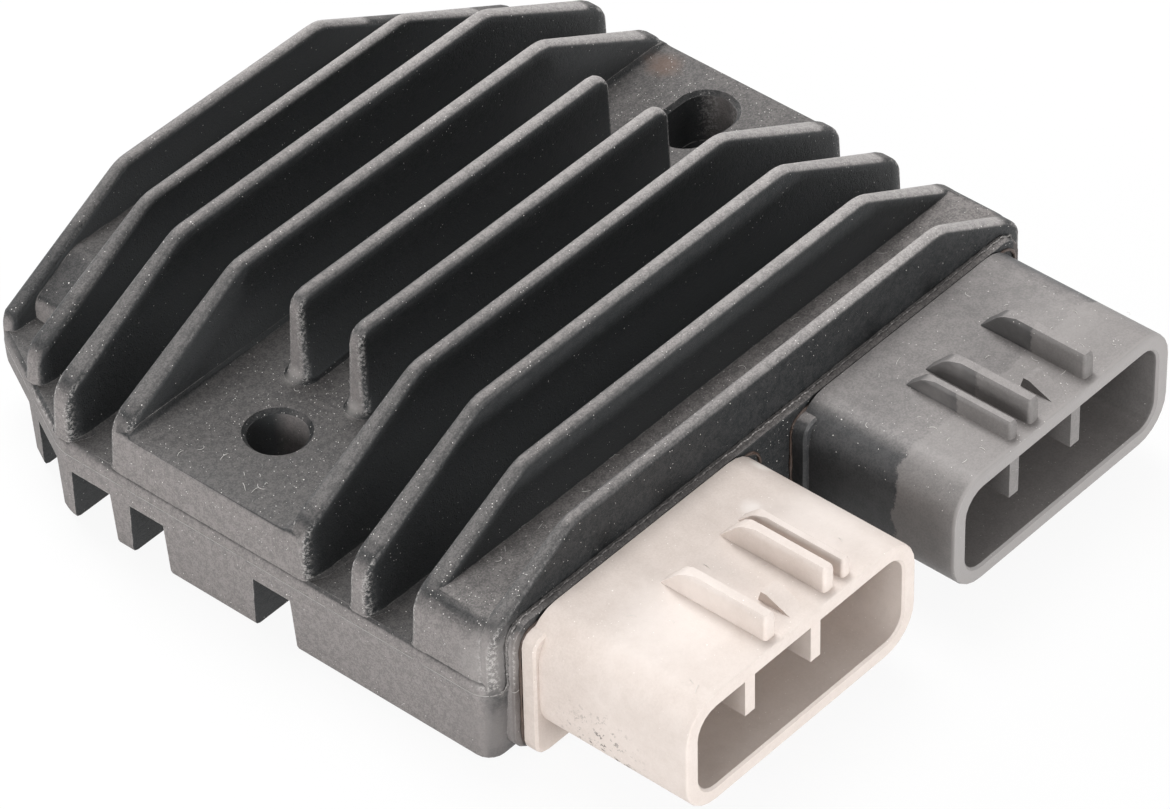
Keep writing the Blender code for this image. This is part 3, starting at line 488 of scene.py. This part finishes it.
def makeCastingFinish():
    material, tree, shader, place, marks = startSurface("blackCoatedCasting", casting)
    x, y, z = splitVector(tree, place)
    across = mathNode(tree, "ABSOLUTE", x)
    face = tree.nodes.new("ShaderNodeNewGeometry")
    leanX, leanY, leanZ = splitVector(tree, face.outputs["Normal"])
    color = mixColor(tree, marks["sandy"], casting["bareLow"], casting["bareHigh"])
    # painted light on the shaded flanks deep in the channels
    paintedChannelLight = product(tree, lengthRange(tree, y, *casting["innerRange"]),
                         lengthRange(tree, across, *casting["innerSideRange"]),
                         lengthRange(tree, z, *casting["innerHeightRange"]),
                         rangeNode(tree, leanZ, *casting["innerLeanSpan"]))
    color = mixColor(tree, paintedChannelLight, color, casting["innerPaintedLight"])
    # painted sheen on the end faces all over, more on the crests of the grain
    sideways = mathNode(tree, "ABSOLUTE", leanX)
    paintedEndSheen = product(tree, rangeNode(tree, sideways, *casting["endLeanSpan"]),
                   grainShare(tree, marks, casting["sheenInGrain"]))
    color = mixColor(tree, paintedEndSheen, color, casting["endSheenColor"])
    # dust and painted top light on the upward faces
    film = product(tree, marks["film"], grainShare(tree, marks, casting["dustAndLightInGrain"]),
                   lengthRange(tree, z, *casting["filmHeightRange"]),
                   lengthRange(tree, x, *casting["paintedLightSideRange"]))
    color = mixColor(tree, film, color, casting["dustAndTopLight"])
    # worn ridges with a painted highlight
    onRidgeWearAndHighlight = product(tree, lengthRange(tree, z, *casting["ridgeHeightRange"]),
                      lengthRange(tree, x, *casting["ridgeSideRange"]),
                      rangeNode(tree, leanZ, *casting["ridgeLeanSpan"]),
                      grainShare(tree, marks, casting["ridgeInGrain"]))
    color = mixColor(tree, onRidgeWearAndHighlight, color, casting["ridge"])
    onFrame = product(tree, lengthRange(tree, y, *casting["frameRange"]),
                      lengthRange(tree, across, *casting["frameSideRange"]))
    color = mixColor(tree, onFrame, color, casting["frameTint"])
    color = paintPatches(tree, place, color, casting["patches"])
    # worn edges with a painted highlight
    wornAndLit = product(tree, marks["wornAndLit"], lengthRange(tree, across, *casting["wornAndLitSideRange"]))
    color = mixColor(tree, wornAndLit, color, casting["wornAndLit"])
    # rounds that turn from an end face into a flank get a painted sparkle where the coating is worn
    # through
    turning = mathNode(tree, "ABSOLUTE", product(tree, leanX, leanY))
    flecks = rangeNode(tree, noiseNode(tree, place, *casting["fleckNoise"]), *casting["fleckSpan"])
    atEnds = product(tree, lengthRange(tree, across, *casting["sparkleSideRange"]),
                     lengthRange(tree, z, *casting["overSeamRange"]))
    atFins = mathNode(tree, "MAXIMUM", atEnds, lengthRange(tree, z, *casting["overPadRange"]))
    paintedSparkle = product(tree, flecks, rangeNode(tree, turning, *casting["turnSpan"]), atFins)
    color = mixColor(tree, paintedSparkle, color, casting["wornAndLit"])
    offSeam = mathNode(tree, "ABSOLUTE", mathNode(tree, "SUBTRACT", z, places["seamZ"] * mm))
    broken = rangeNode(tree, noiseNode(tree, place, *casting["seamNoise"]), *casting["seamSpan"])
    upright = rangeNode(tree, mathNode(tree, "ABSOLUTE", leanZ), *casting["uprightSpan"])
    seam = product(tree, lengthRange(tree, offSeam, *casting["seamRange"]), broken, upright)
    color = mixColor(tree, seam, color, casting["wornAndLit"])
    filmAndSheen = mathNode(tree, "MAXIMUM", film, paintedEndSheen)
    tree.links.new(rangeNode(tree, filmAndSheen, 0.0, 1.0, casting["roughness"], casting["filmAndSheenRoughness"]),
                   shader.inputs["Roughness"])
    relief = mathNode(tree, "MULTIPLY_ADD", seam, casting["seamRelief"], marks["relief"])
    finishSurface(tree, shader, marks, casting, color, relief)
    return material


beige = {
    "roughness": 0.6, "shine": 0.5, "bump": 0.7, "bumpDepth": 0.045,
    "grains": {"Fine": 3600.0, "Coarse": 500.0, "Pits": 0.1}, "sandySpan": (0.4, 0.6),
    "low": (0.585, 0.505, 0.455), "high": (0.68, 0.60, 0.552),
    "speckShare": 0.12, "speck": (0.93, 0.88, 0.84), "driftScale": 110.0, "drifts": [],
    "cloudNoise": (260.0, 9.0, 0.78), "cloudSpan": (0.3, 0.7), "cloudShare": 0.5,
    # paler and chalky toward the mouth, with the cleaner plastic left at the rear
    "chalk": (0.74, 0.665, 0.618), "chalkRange": (-38.0, -46.0), "chalkInCloud": (0.35, 0.55),
    "wornAndLitShare": 0.5,
    # grime low on the left side
    "grime": (0.16, 0.135, 0.12), "grimeNoise": (700.0, 4.0, 0.8), "grimeSpan": (0.57, 0.6),
    "grimeCenter": (-44.4, -44.0, 6.0), "grimeRadius": 9.0,
    # a small pale spot, two broad pale smears round the ribs, and the pale rear corner
    "patches": [((-13.0, -40.0, 20.2), 2.0, 0.5, (0.9, 0.85, 0.82)),
                ((-33.0, -45.0, 20.2), 11.0, 0.45, (0.85, 0.78, 0.735)),
                ((-10.0, -48.0, 20.2), 10.0, 0.4, (0.85, 0.78, 0.735)),
                ((-5.5, -35.5, 19.6), 2.2, 0.7, (0.90, 0.85, 0.80))],
}


def makeBeigePlastic():
    material, tree, shader, place, marks = startSurface("beigePlastic", beige)
    y = splitVector(tree, place)[1]
    cloud = rangeNode(tree, noiseNode(tree, place, *beige["cloudNoise"]), *beige["cloudSpan"])
    mottle = mathNode(tree, "MULTIPLY_ADD", marks["sandy"], 1.0 - beige["cloudShare"],
                      product(tree, cloud, beige["cloudShare"]))
    color = mixColor(tree, mottle, beige["low"], beige["high"])
    chalky = product(tree, lengthRange(tree, y, *beige["chalkRange"]),
                     rangeNode(tree, cloud, 0.0, 1.0, *beige["chalkInCloud"]))
    color = mixColor(tree, chalky, color, beige["chalk"])
    color = paintPatches(tree, place, color, beige["patches"])
    # worn edges with a painted highlight
    wornAndLit = product(tree, marks["wornAndLit"], beige["wornAndLitShare"])
    color = mixColor(tree, wornAndLit, color, beige["chalk"])
    blots = rangeNode(tree, noiseNode(tree, place, *beige["grimeNoise"]), *beige["grimeSpan"])
    grimy = product(tree, blots, placePatch(tree, place, beige["grimeCenter"], beige["grimeRadius"]))
    color = mixColor(tree, grimy, color, beige["grime"])
    finishSurface(tree, shader, marks, beige, color, marks["relief"])
    return material


blackShell = {
    "roughness": 0.5, "shine": 0.4, "bump": 0.8, "bumpDepth": 0.05,
    "grains": {"Fine": 3600.0, "Coarse": 700.0, "Pits": 0.15}, "sandySpan": (0.4, 0.6),
    "low": (0.032, 0.034, 0.036), "high": (0.060, 0.061, 0.063),
    "speckShare": 0.2, "speck": (0.75, 0.72, 0.69), "driftScale": 90.0, "drifts": [],
    # paler from the mouth back to a hard upright edge some way behind it
    "paleFront": (0.16, 0.15, 0.146), "paleFrontInGrain": 0.75, "paleFrontRange": (-44.8, -45.2),
    "wanderNoise": (240.0, 8.0, 0.7), "wander": 5.0, "chalk": (0.34, 0.32, 0.31), "chalkShare": 0.3,
    # painted light on the mouth's rim
    "litRim": (0.29, 0.275, 0.27), "rimRange": (places["mouthY"] + 0.7, places["mouthY"] + 0.3),
    # painted light on the upper ribs
    "ribs": (0.10, 0.094, 0.091),
    "ribRange": (places["shellTopZ"] + 0.1, places["shellTopZ"] + 0.4, 0.0, 0.55),
    "dustAndTopLight": (0.275, 0.255, 0.248), "dustAndLightInGrain": (0.72, 1.05), "wornAndLitShare": 0.5,
    # pale smears round the ribs
    "patches": [((18.0, -45.0, 20.3), 6.0, 0.35, (0.40, 0.375, 0.365)),
                ((35.0, -46.5, 20.3), 8.0, 0.35, (0.40, 0.375, 0.365))],
}


def makeBlackPlastic():
    material, tree, shader, place, marks = startSurface("blackPlastic", blackShell)
    y, z = splitVector(tree, place)[1:]
    color = mixColor(tree, marks["sandy"], blackShell["low"], blackShell["high"])
    wander = mathNode(tree, "MULTIPLY_ADD", noiseNode(tree, place, *blackShell["wanderNoise"]),
                      blackShell["wander"] * mm, y)
    inPaleFront = product(tree, lengthRange(tree, wander, *blackShell["paleFrontRange"]),
                      grainShare(tree, marks, blackShell["paleFrontInGrain"]))
    color = mixColor(tree, inPaleFront, color, blackShell["paleFront"])
    # the mouth's rim gets painted light
    onLitRim = lengthRange(tree, y, *blackShell["rimRange"])
    color = mixColor(tree, onLitRim, color, blackShell["litRim"])
    # the upper parts of the ribs get painted light
    onRibPaintedLight = lengthRange(tree, z, *blackShell["ribRange"])
    color = mixColor(tree, onRibPaintedLight, color, blackShell["ribs"])
    # dust and painted top light on the upward faces
    film = product(tree, marks["film"], grainShare(tree, marks, *blackShell["dustAndLightInGrain"]))
    color = mixColor(tree, film, color, blackShell["dustAndTopLight"])
    chalky = product(tree, inPaleFront, blackShell["chalkShare"])
    color = mixColor(tree, chalky, color, blackShell["chalk"])
    color = paintPatches(tree, place, color, blackShell["patches"])
    # worn edges with a painted highlight
    wornAndLit = product(tree, marks["wornAndLit"], blackShell["wornAndLitShare"])
    color = mixColor(tree, wornAndLit, color, blackShell["dustAndTopLight"])
    finishSurface(tree, shader, marks, blackShell, color, marks["relief"])
    return material


plain = {"toneSpan": (0.3, 0.7), "bump": 0.3}


def makePlainFinish(name, low, high, roughness, metallic=0.0, scale=400.0, depth=0.01):
    # one colour that drifts from low to high with the grain
    material, tree, shader, place = startMaterial(name, roughness, metallic)
    grains = placeGroup(tree, surfaceGrain, place, {"Coarse": scale})
    tone = rangeNode(tree, grains["Tone"], *plain["toneSpan"])
    tree.links.new(mixColor(tree, tone, low, high), shader.inputs["Base Color"])
    addBump(tree, shader, grains["Height"], plain["bump"], depth)
    return material


weldReach = 0.002   # mm


def smoothCopy(node, material, name, sharpAngle):
    # a merged copy of a CAD node, smooth where its faces meet at less than the sharp angle
    mesh = nodes[node].data.copy()
    mesh.name = name
    copy = bpy.data.objects.new(name, mesh)
    bpy.context.scene.collection.objects.link(copy)
    welded = bmesh.new()
    welded.from_mesh(mesh)
    bmesh.ops.remove_doubles(welded, verts=welded.verts[:], dist=weldReach * mm)
    welded.to_mesh(mesh)
    welded.free()
    if "custom_normal" in mesh.attributes:
        mesh.attributes.remove(mesh.attributes["custom_normal"])
    mesh.shade_smooth()
    mesh.set_sharp_from_angle(angle=math.radians(sharpAngle))
    mesh.materials.clear()
    mesh.materials.append(material)
    weighted = copy.modifiers.new("weightedNormal", "WEIGHTED_NORMAL")
    weighted.keep_sharp = True
    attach(copy, "root")
    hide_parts(node)
    return copy


steepRise = 0.9   # rise of a path for each step along it


def sweepTubes(name, paths, radii, sides, material, closed=False):
    # round tubes along paths: each point of a path gets a ring, which is the centre plus
    # radius (cos a side + sin a lift), where side is across the path and the guide, and lift
    # is across the path and side
    count, steps = paths.shape[:2]
    if closed:
        ahead = np.roll(paths, -1, axis=1) - np.roll(paths, 1, axis=1)
    else:
        ahead = np.gradient(paths, axis=1)
    ahead = ahead / np.linalg.norm(ahead, axis=2, keepdims=True)
    steep = np.abs(ahead[..., 2:3]) > steepRise   # there the guide is the Y axis
    guide = np.where(steep, (0.0, 1.0, 0.0), (0.0, 0.0, 1.0))
    side = np.cross(ahead, guide)
    side = side / np.linalg.norm(side, axis=2, keepdims=True)
    lift = np.cross(side, ahead)
    turn = np.linspace(0, 2 * np.pi, sides, endpoint=False)[None, None, :, None]
    ring = np.cos(turn) * side[:, :, None, :] + np.sin(turn) * lift[:, :, None, :]
    points = (paths[:, :, None, :] + radii[:, :, None, None] * ring).reshape(-1, 3)
    grid = np.arange(count * steps * sides).reshape(count, steps, sides)
    here, after = (grid, np.roll(grid, -1, axis=1)) if closed else (grid[:, :-1], grid[:, 1:])
    quads = np.stack([here, np.roll(here, -1, axis=2), np.roll(after, -1, axis=2), after], axis=-1)
    faces = quads.reshape(-1, 4).tolist()
    if not closed:
        faces += grid[:, 0, ::-1].tolist() + grid[:, -1].tolist()
    mesh = bpy.data.meshes.new(name)
    mesh.from_pydata((points * mm).tolist(), [], faces)
    turned = bmesh.new()
    turned.from_mesh(mesh)
    bmesh.ops.recalc_face_normals(turned, faces=turned.faces[:])
    turned.to_mesh(mesh)
    turned.free()
    mesh.shade_smooth()
    mesh.materials.append(material)
    piece = bpy.data.objects.new(name, mesh)
    bpy.context.scene.collection.objects.link(piece)
    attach(piece, "root")
    return piece


def walkPath(corners, steps):
    # evenly spaced points along straight pieces between corners
    corners = np.array(corners, float)
    lengths = np.concatenate([[0], np.cumsum(np.linalg.norm(np.diff(corners, axis=0), axis=1))])
    along = np.linspace(0, lengths[-1], steps)
    return np.stack([np.interp(along, lengths, corners[:, k]) for k in range(3)], axis=1), along


def bentWave(along, rate, warp, slowRate):
    # a sine whose phase is bent by a slower sine: sin(rate s + warp sin(slowRate s))
    return np.sin(along * rate + warp * np.sin(along * slowRate))


flash = {
    "steps": 900, "radius": 0.13, "sway": 0.07, "sides": 6, "tipShare": 0.2,
    "proudOfFrame": 0.1, "proudOfTop": 0.08,
    # the left end of the path: outward of the frame's side, behind the wall, and over the seam
    "foot": [(2.1, 1.15, 0.0), (1.3, 0.42, 0.0), (0.4, 0.04, 0.3), (0.0, -0.05, 1.2)],
    # the same at the upper corner, with the last number under the frame's top
    "shoulder": [(0.0, -0.05, 2.6), (-0.9, -0.05, 0.75), (-2.7, -0.05, 0.0)],
    "outWave": (2.3, 1.5, 0.7), "upWave": (3.1, 2.0, 0.43),
    "swells": [(0.35, (4.7, 0.0, 0.0)), (0.3, (11.3, 1.0, 1.9))],
    "finish": {"low": (0.06, 0.057, 0.055), "high": (0.30, 0.285, 0.275), "roughness": 0.45,
               "metallic": 0.3, "scale": 2500.0, "depth": 0.04},
}


def makeFlashBead():
    # thin ragged bead left by the mould, round the front corners and along the frame:
    # the radius is a mean times one plus two waves, and the path sways by two more
    half, wall = places["frameHalf"] + flash["proudOfFrame"], places["wallY"]
    seam, top = places["seamZ"], places["frameTop"] + flash["proudOfTop"]
    left = [(-half - outward, wall + back, seam + up) for outward, back, up in flash["foot"]]
    left += [(-half - outward, wall + back, top - down) for outward, back, down in flash["shoulder"]]
    # the right end is the mirrored left one, but goes straight from its first point to its third
    right = [(-x, y, z) for x, y, z in left[:1] + left[2:]][::-1]
    path, along = walkPath(left + right, flash["steps"])
    path[:, 1] -= flash["sway"] * (0.5 + 0.5 * bentWave(along, *flash["outWave"]))
    path[:, 2] += flash["sway"] * bentWave(along, *flash["upWave"])
    radii = np.ones_like(along)
    for size, wave in flash["swells"]:
        radii += size * bentWave(along, *wave)
    radii *= flash["radius"]
    radii[[0, -1]] *= flash["tipShare"]
    finish = makePlainFinish("castFlash", **flash["finish"])
    piece = sweepTubes("flashBead", path[None], radii[None], flash["sides"], finish)


sealant = {
    "steps": 420, "radius": 0.2, "sides": 6, "cornerSteps": 8, "cornerRadius": 2.6,
    "proud": 0.08, "bottomRise": 0.1,
    # size of a wave, how often it goes round, and how much of the centre's X shifts it
    "swells": [(0.25, 17, 0), (0.2, 41, 1)],
    "finish": {"low": (0.030, 0.020, 0.015), "high": (0.10, 0.065, 0.05), "roughness": 0.4,
               "scale": 900.0, "depth": 0.03},
}


def makeSealantBeads():
    # dark bead squeezed out round each flange: a rounded rectangle in the plane of the frame,
    # whose radius is a mean times one plus two sine waves
    half, high = places["flangeHalf"] + sealant["proud"], places["flangeTop"] + sealant["proud"]
    low, radius = places["flangeBottom"] + sealant["bottomRise"], sealant["cornerRadius"]
    turn = np.linspace(0, np.pi / 2, sealant["cornerSteps"])
    arc = radius * np.stack([np.cos(turn), np.sin(turn)], axis=1)
    outline = np.concatenate([arc + (half - radius, high - radius),
                              arc[:, ::-1] * (-1, 1) + (-half + radius, high - radius),
                              -arc + (-half + radius, low + radius),
                              arc[:, ::-1] * (1, -1) + (half - radius, low + radius)])
    outline = np.concatenate([outline, outline[:1]])
    depth = np.full(len(outline), places["frameY"] - sealant["proud"])
    finish = makePlainFinish("brownSealant", **sealant["finish"])
    for name, side in (("outputSealant", -1), ("statorSealant", 1)):
        center = side * places["connectorX"]
        flat = np.stack([outline[:, 0] + center, depth, outline[:, 1]], axis=1)
        path, along = walkPath(flat, sealant["steps"] + 1)
        path, along = path[:-1], along[:-1]
        turns = 2 * np.pi * along / (along[-1] + along[1])
        radii = np.ones_like(along)
        for size, times, shift in sealant["swells"]:
            radii += size * np.sin(times * turns + shift * center)
        radii *= sealant["radius"]
        sweepTubes(name, path[None], radii[None], sealant["sides"], finish, closed=True)


fibres = {
    "steps": 7, "radius": 0.026, "sides": 5, "seed": 11, "clearOfHoles": 7.6,
    "lengths": (0.5, 1.7), "curl": 1.5, "arch": 0.12, "tipShare": 0.4,
    # x low, x high, y low, y high, height of the surface, number
    "beds": [(-47, -29, 6, 19, places["padZ"], 34), (30, 47, 6, 19, places["padZ"], 20),
             (-40, 36, -23.6, -20.6, places["roofZ"], 34), (6, 42, -55, -36, places["shellTopZ"], 22),
             (-42, -6, -55, -36, places["shellTopZ"], 8),
             (-46, 44, -14.6, -11.8, places["valleyZ"], 10)],
    "finish": {"low": (0.62, 0.60, 0.57), "high": (0.8, 0.78, 0.75), "roughness": 0.7},
}


def makeDustFibres():
    # short curled hairs lying on the level places: each is an arc whose heading turns evenly
    rng = np.random.default_rng(fibres["seed"])
    *bounds, numbers = zip(*fibres["beds"])
    beds = np.repeat(np.array(bounds).T, numbers, axis=0)
    start = np.stack([rng.uniform(beds[:, 0], beds[:, 1]),
                      rng.uniform(beds[:, 2], beds[:, 3])], axis=1)
    holes = np.array([(places["holeX"], places["mountY"]), (places["slotX"], places["mountY"])])
    clear = np.linalg.norm(start[:, None] - holes[None], axis=2).min(axis=1) > fibres["clearOfHoles"]
    beds, start = beds[clear], start[clear]
    count = len(beds)
    length = rng.uniform(*fibres["lengths"], count)
    heading = rng.uniform(0, 2 * np.pi, count)
    curl = rng.normal(0, fibres["curl"], count)
    share = np.linspace(0, 1, fibres["steps"])[None, :]
    angle = heading[:, None] + curl[:, None] * share
    step = length[:, None] / (fibres["steps"] - 1)
    x = start[:, :1] + np.cumsum(step * np.cos(angle), axis=1)
    y = start[:, 1:] + np.cumsum(step * np.sin(angle), axis=1)
    arch = fibres["arch"] * np.sin(np.pi * share) * rng.uniform(0, 1, (count, 1))
    z = beds[:, 4:5] + fibres["radius"] + arch
    tips = np.where((share == 0) | (share == 1), fibres["tipShare"], 1.0)
    radii = fibres["radius"] * np.ones_like(x) * tips
    finish = makePlainFinish("dustFibre", **fibres["finish"])
    sweepTubes("dustFibres", np.stack([x, y, z], axis=2), radii, fibres["sides"], finish)


placeCamera()
placeSoftboxes()
makeWhiteWorld()
makeFloor()
print("stage: camera, soft boxes and paper are in place")

sharpCasting, sharpPlastic = 40, 35   # degrees
smoothCopy("finned_housing", makeCastingFinish(), "finnedCasting", sharpCasting)
smoothCopy("output_connector_shell", makeBeigePlastic(), "outputSocket", sharpPlastic)
smoothCopy("stator_connector_shell", makeBlackPlastic(), "statorSocket", sharpPlastic)
print("stage: casting and both sockets are dressed")

makeFlashBead()
makeSealantBeads()
makeDustFibres()
print("stage: flash, sealant and fibres are made")

# finishes by a word in the node's name: name, darker and paler colour, roughness, metallic
innerFinishes = {
    "terminal": makePlainFinish("tinPlate", (0.55, 0.53, 0.50), (0.70, 0.68, 0.64), 0.35, 0.9),
    "potting_resin": makePlainFinish("pottingResin", (0.012, 0.012, 0.013),
                                     (0.022, 0.022, 0.023), 0.28),
    "thermal_film": makePlainFinish("insulatingFilm", (0.50, 0.55, 0.57), (0.60, 0.64, 0.66), 0.6),
    "power_substrate": makePlainFinish("boardLacquer", (0.03, 0.15, 0.08), (0.05, 0.20, 0.11), 0.4),
    "resistor": makePlainFinish("resistorCeramic", (0.05, 0.05, 0.06), (0.09, 0.09, 0.10), 0.5),
    "capacitor": makePlainFinish("capacitorCeramic", (0.36, 0.28, 0.20), (0.48, 0.38, 0.28), 0.5),
    "": makePlainFinish("packageMould", (0.03, 0.03, 0.033), (0.05, 0.05, 0.052), 0.5),
}
for nodeName, node in nodes.items():
    if not node.hide_render:
        kind = next(key for key in innerFinishes if key in nodeName)
        node.data.materials.clear()
        node.data.materials.append(innerFinishes[kind])
print("stage: terminals, resin and circuit are dressed")

bpy.context.scene.view_settings.view_transform = "Standard"
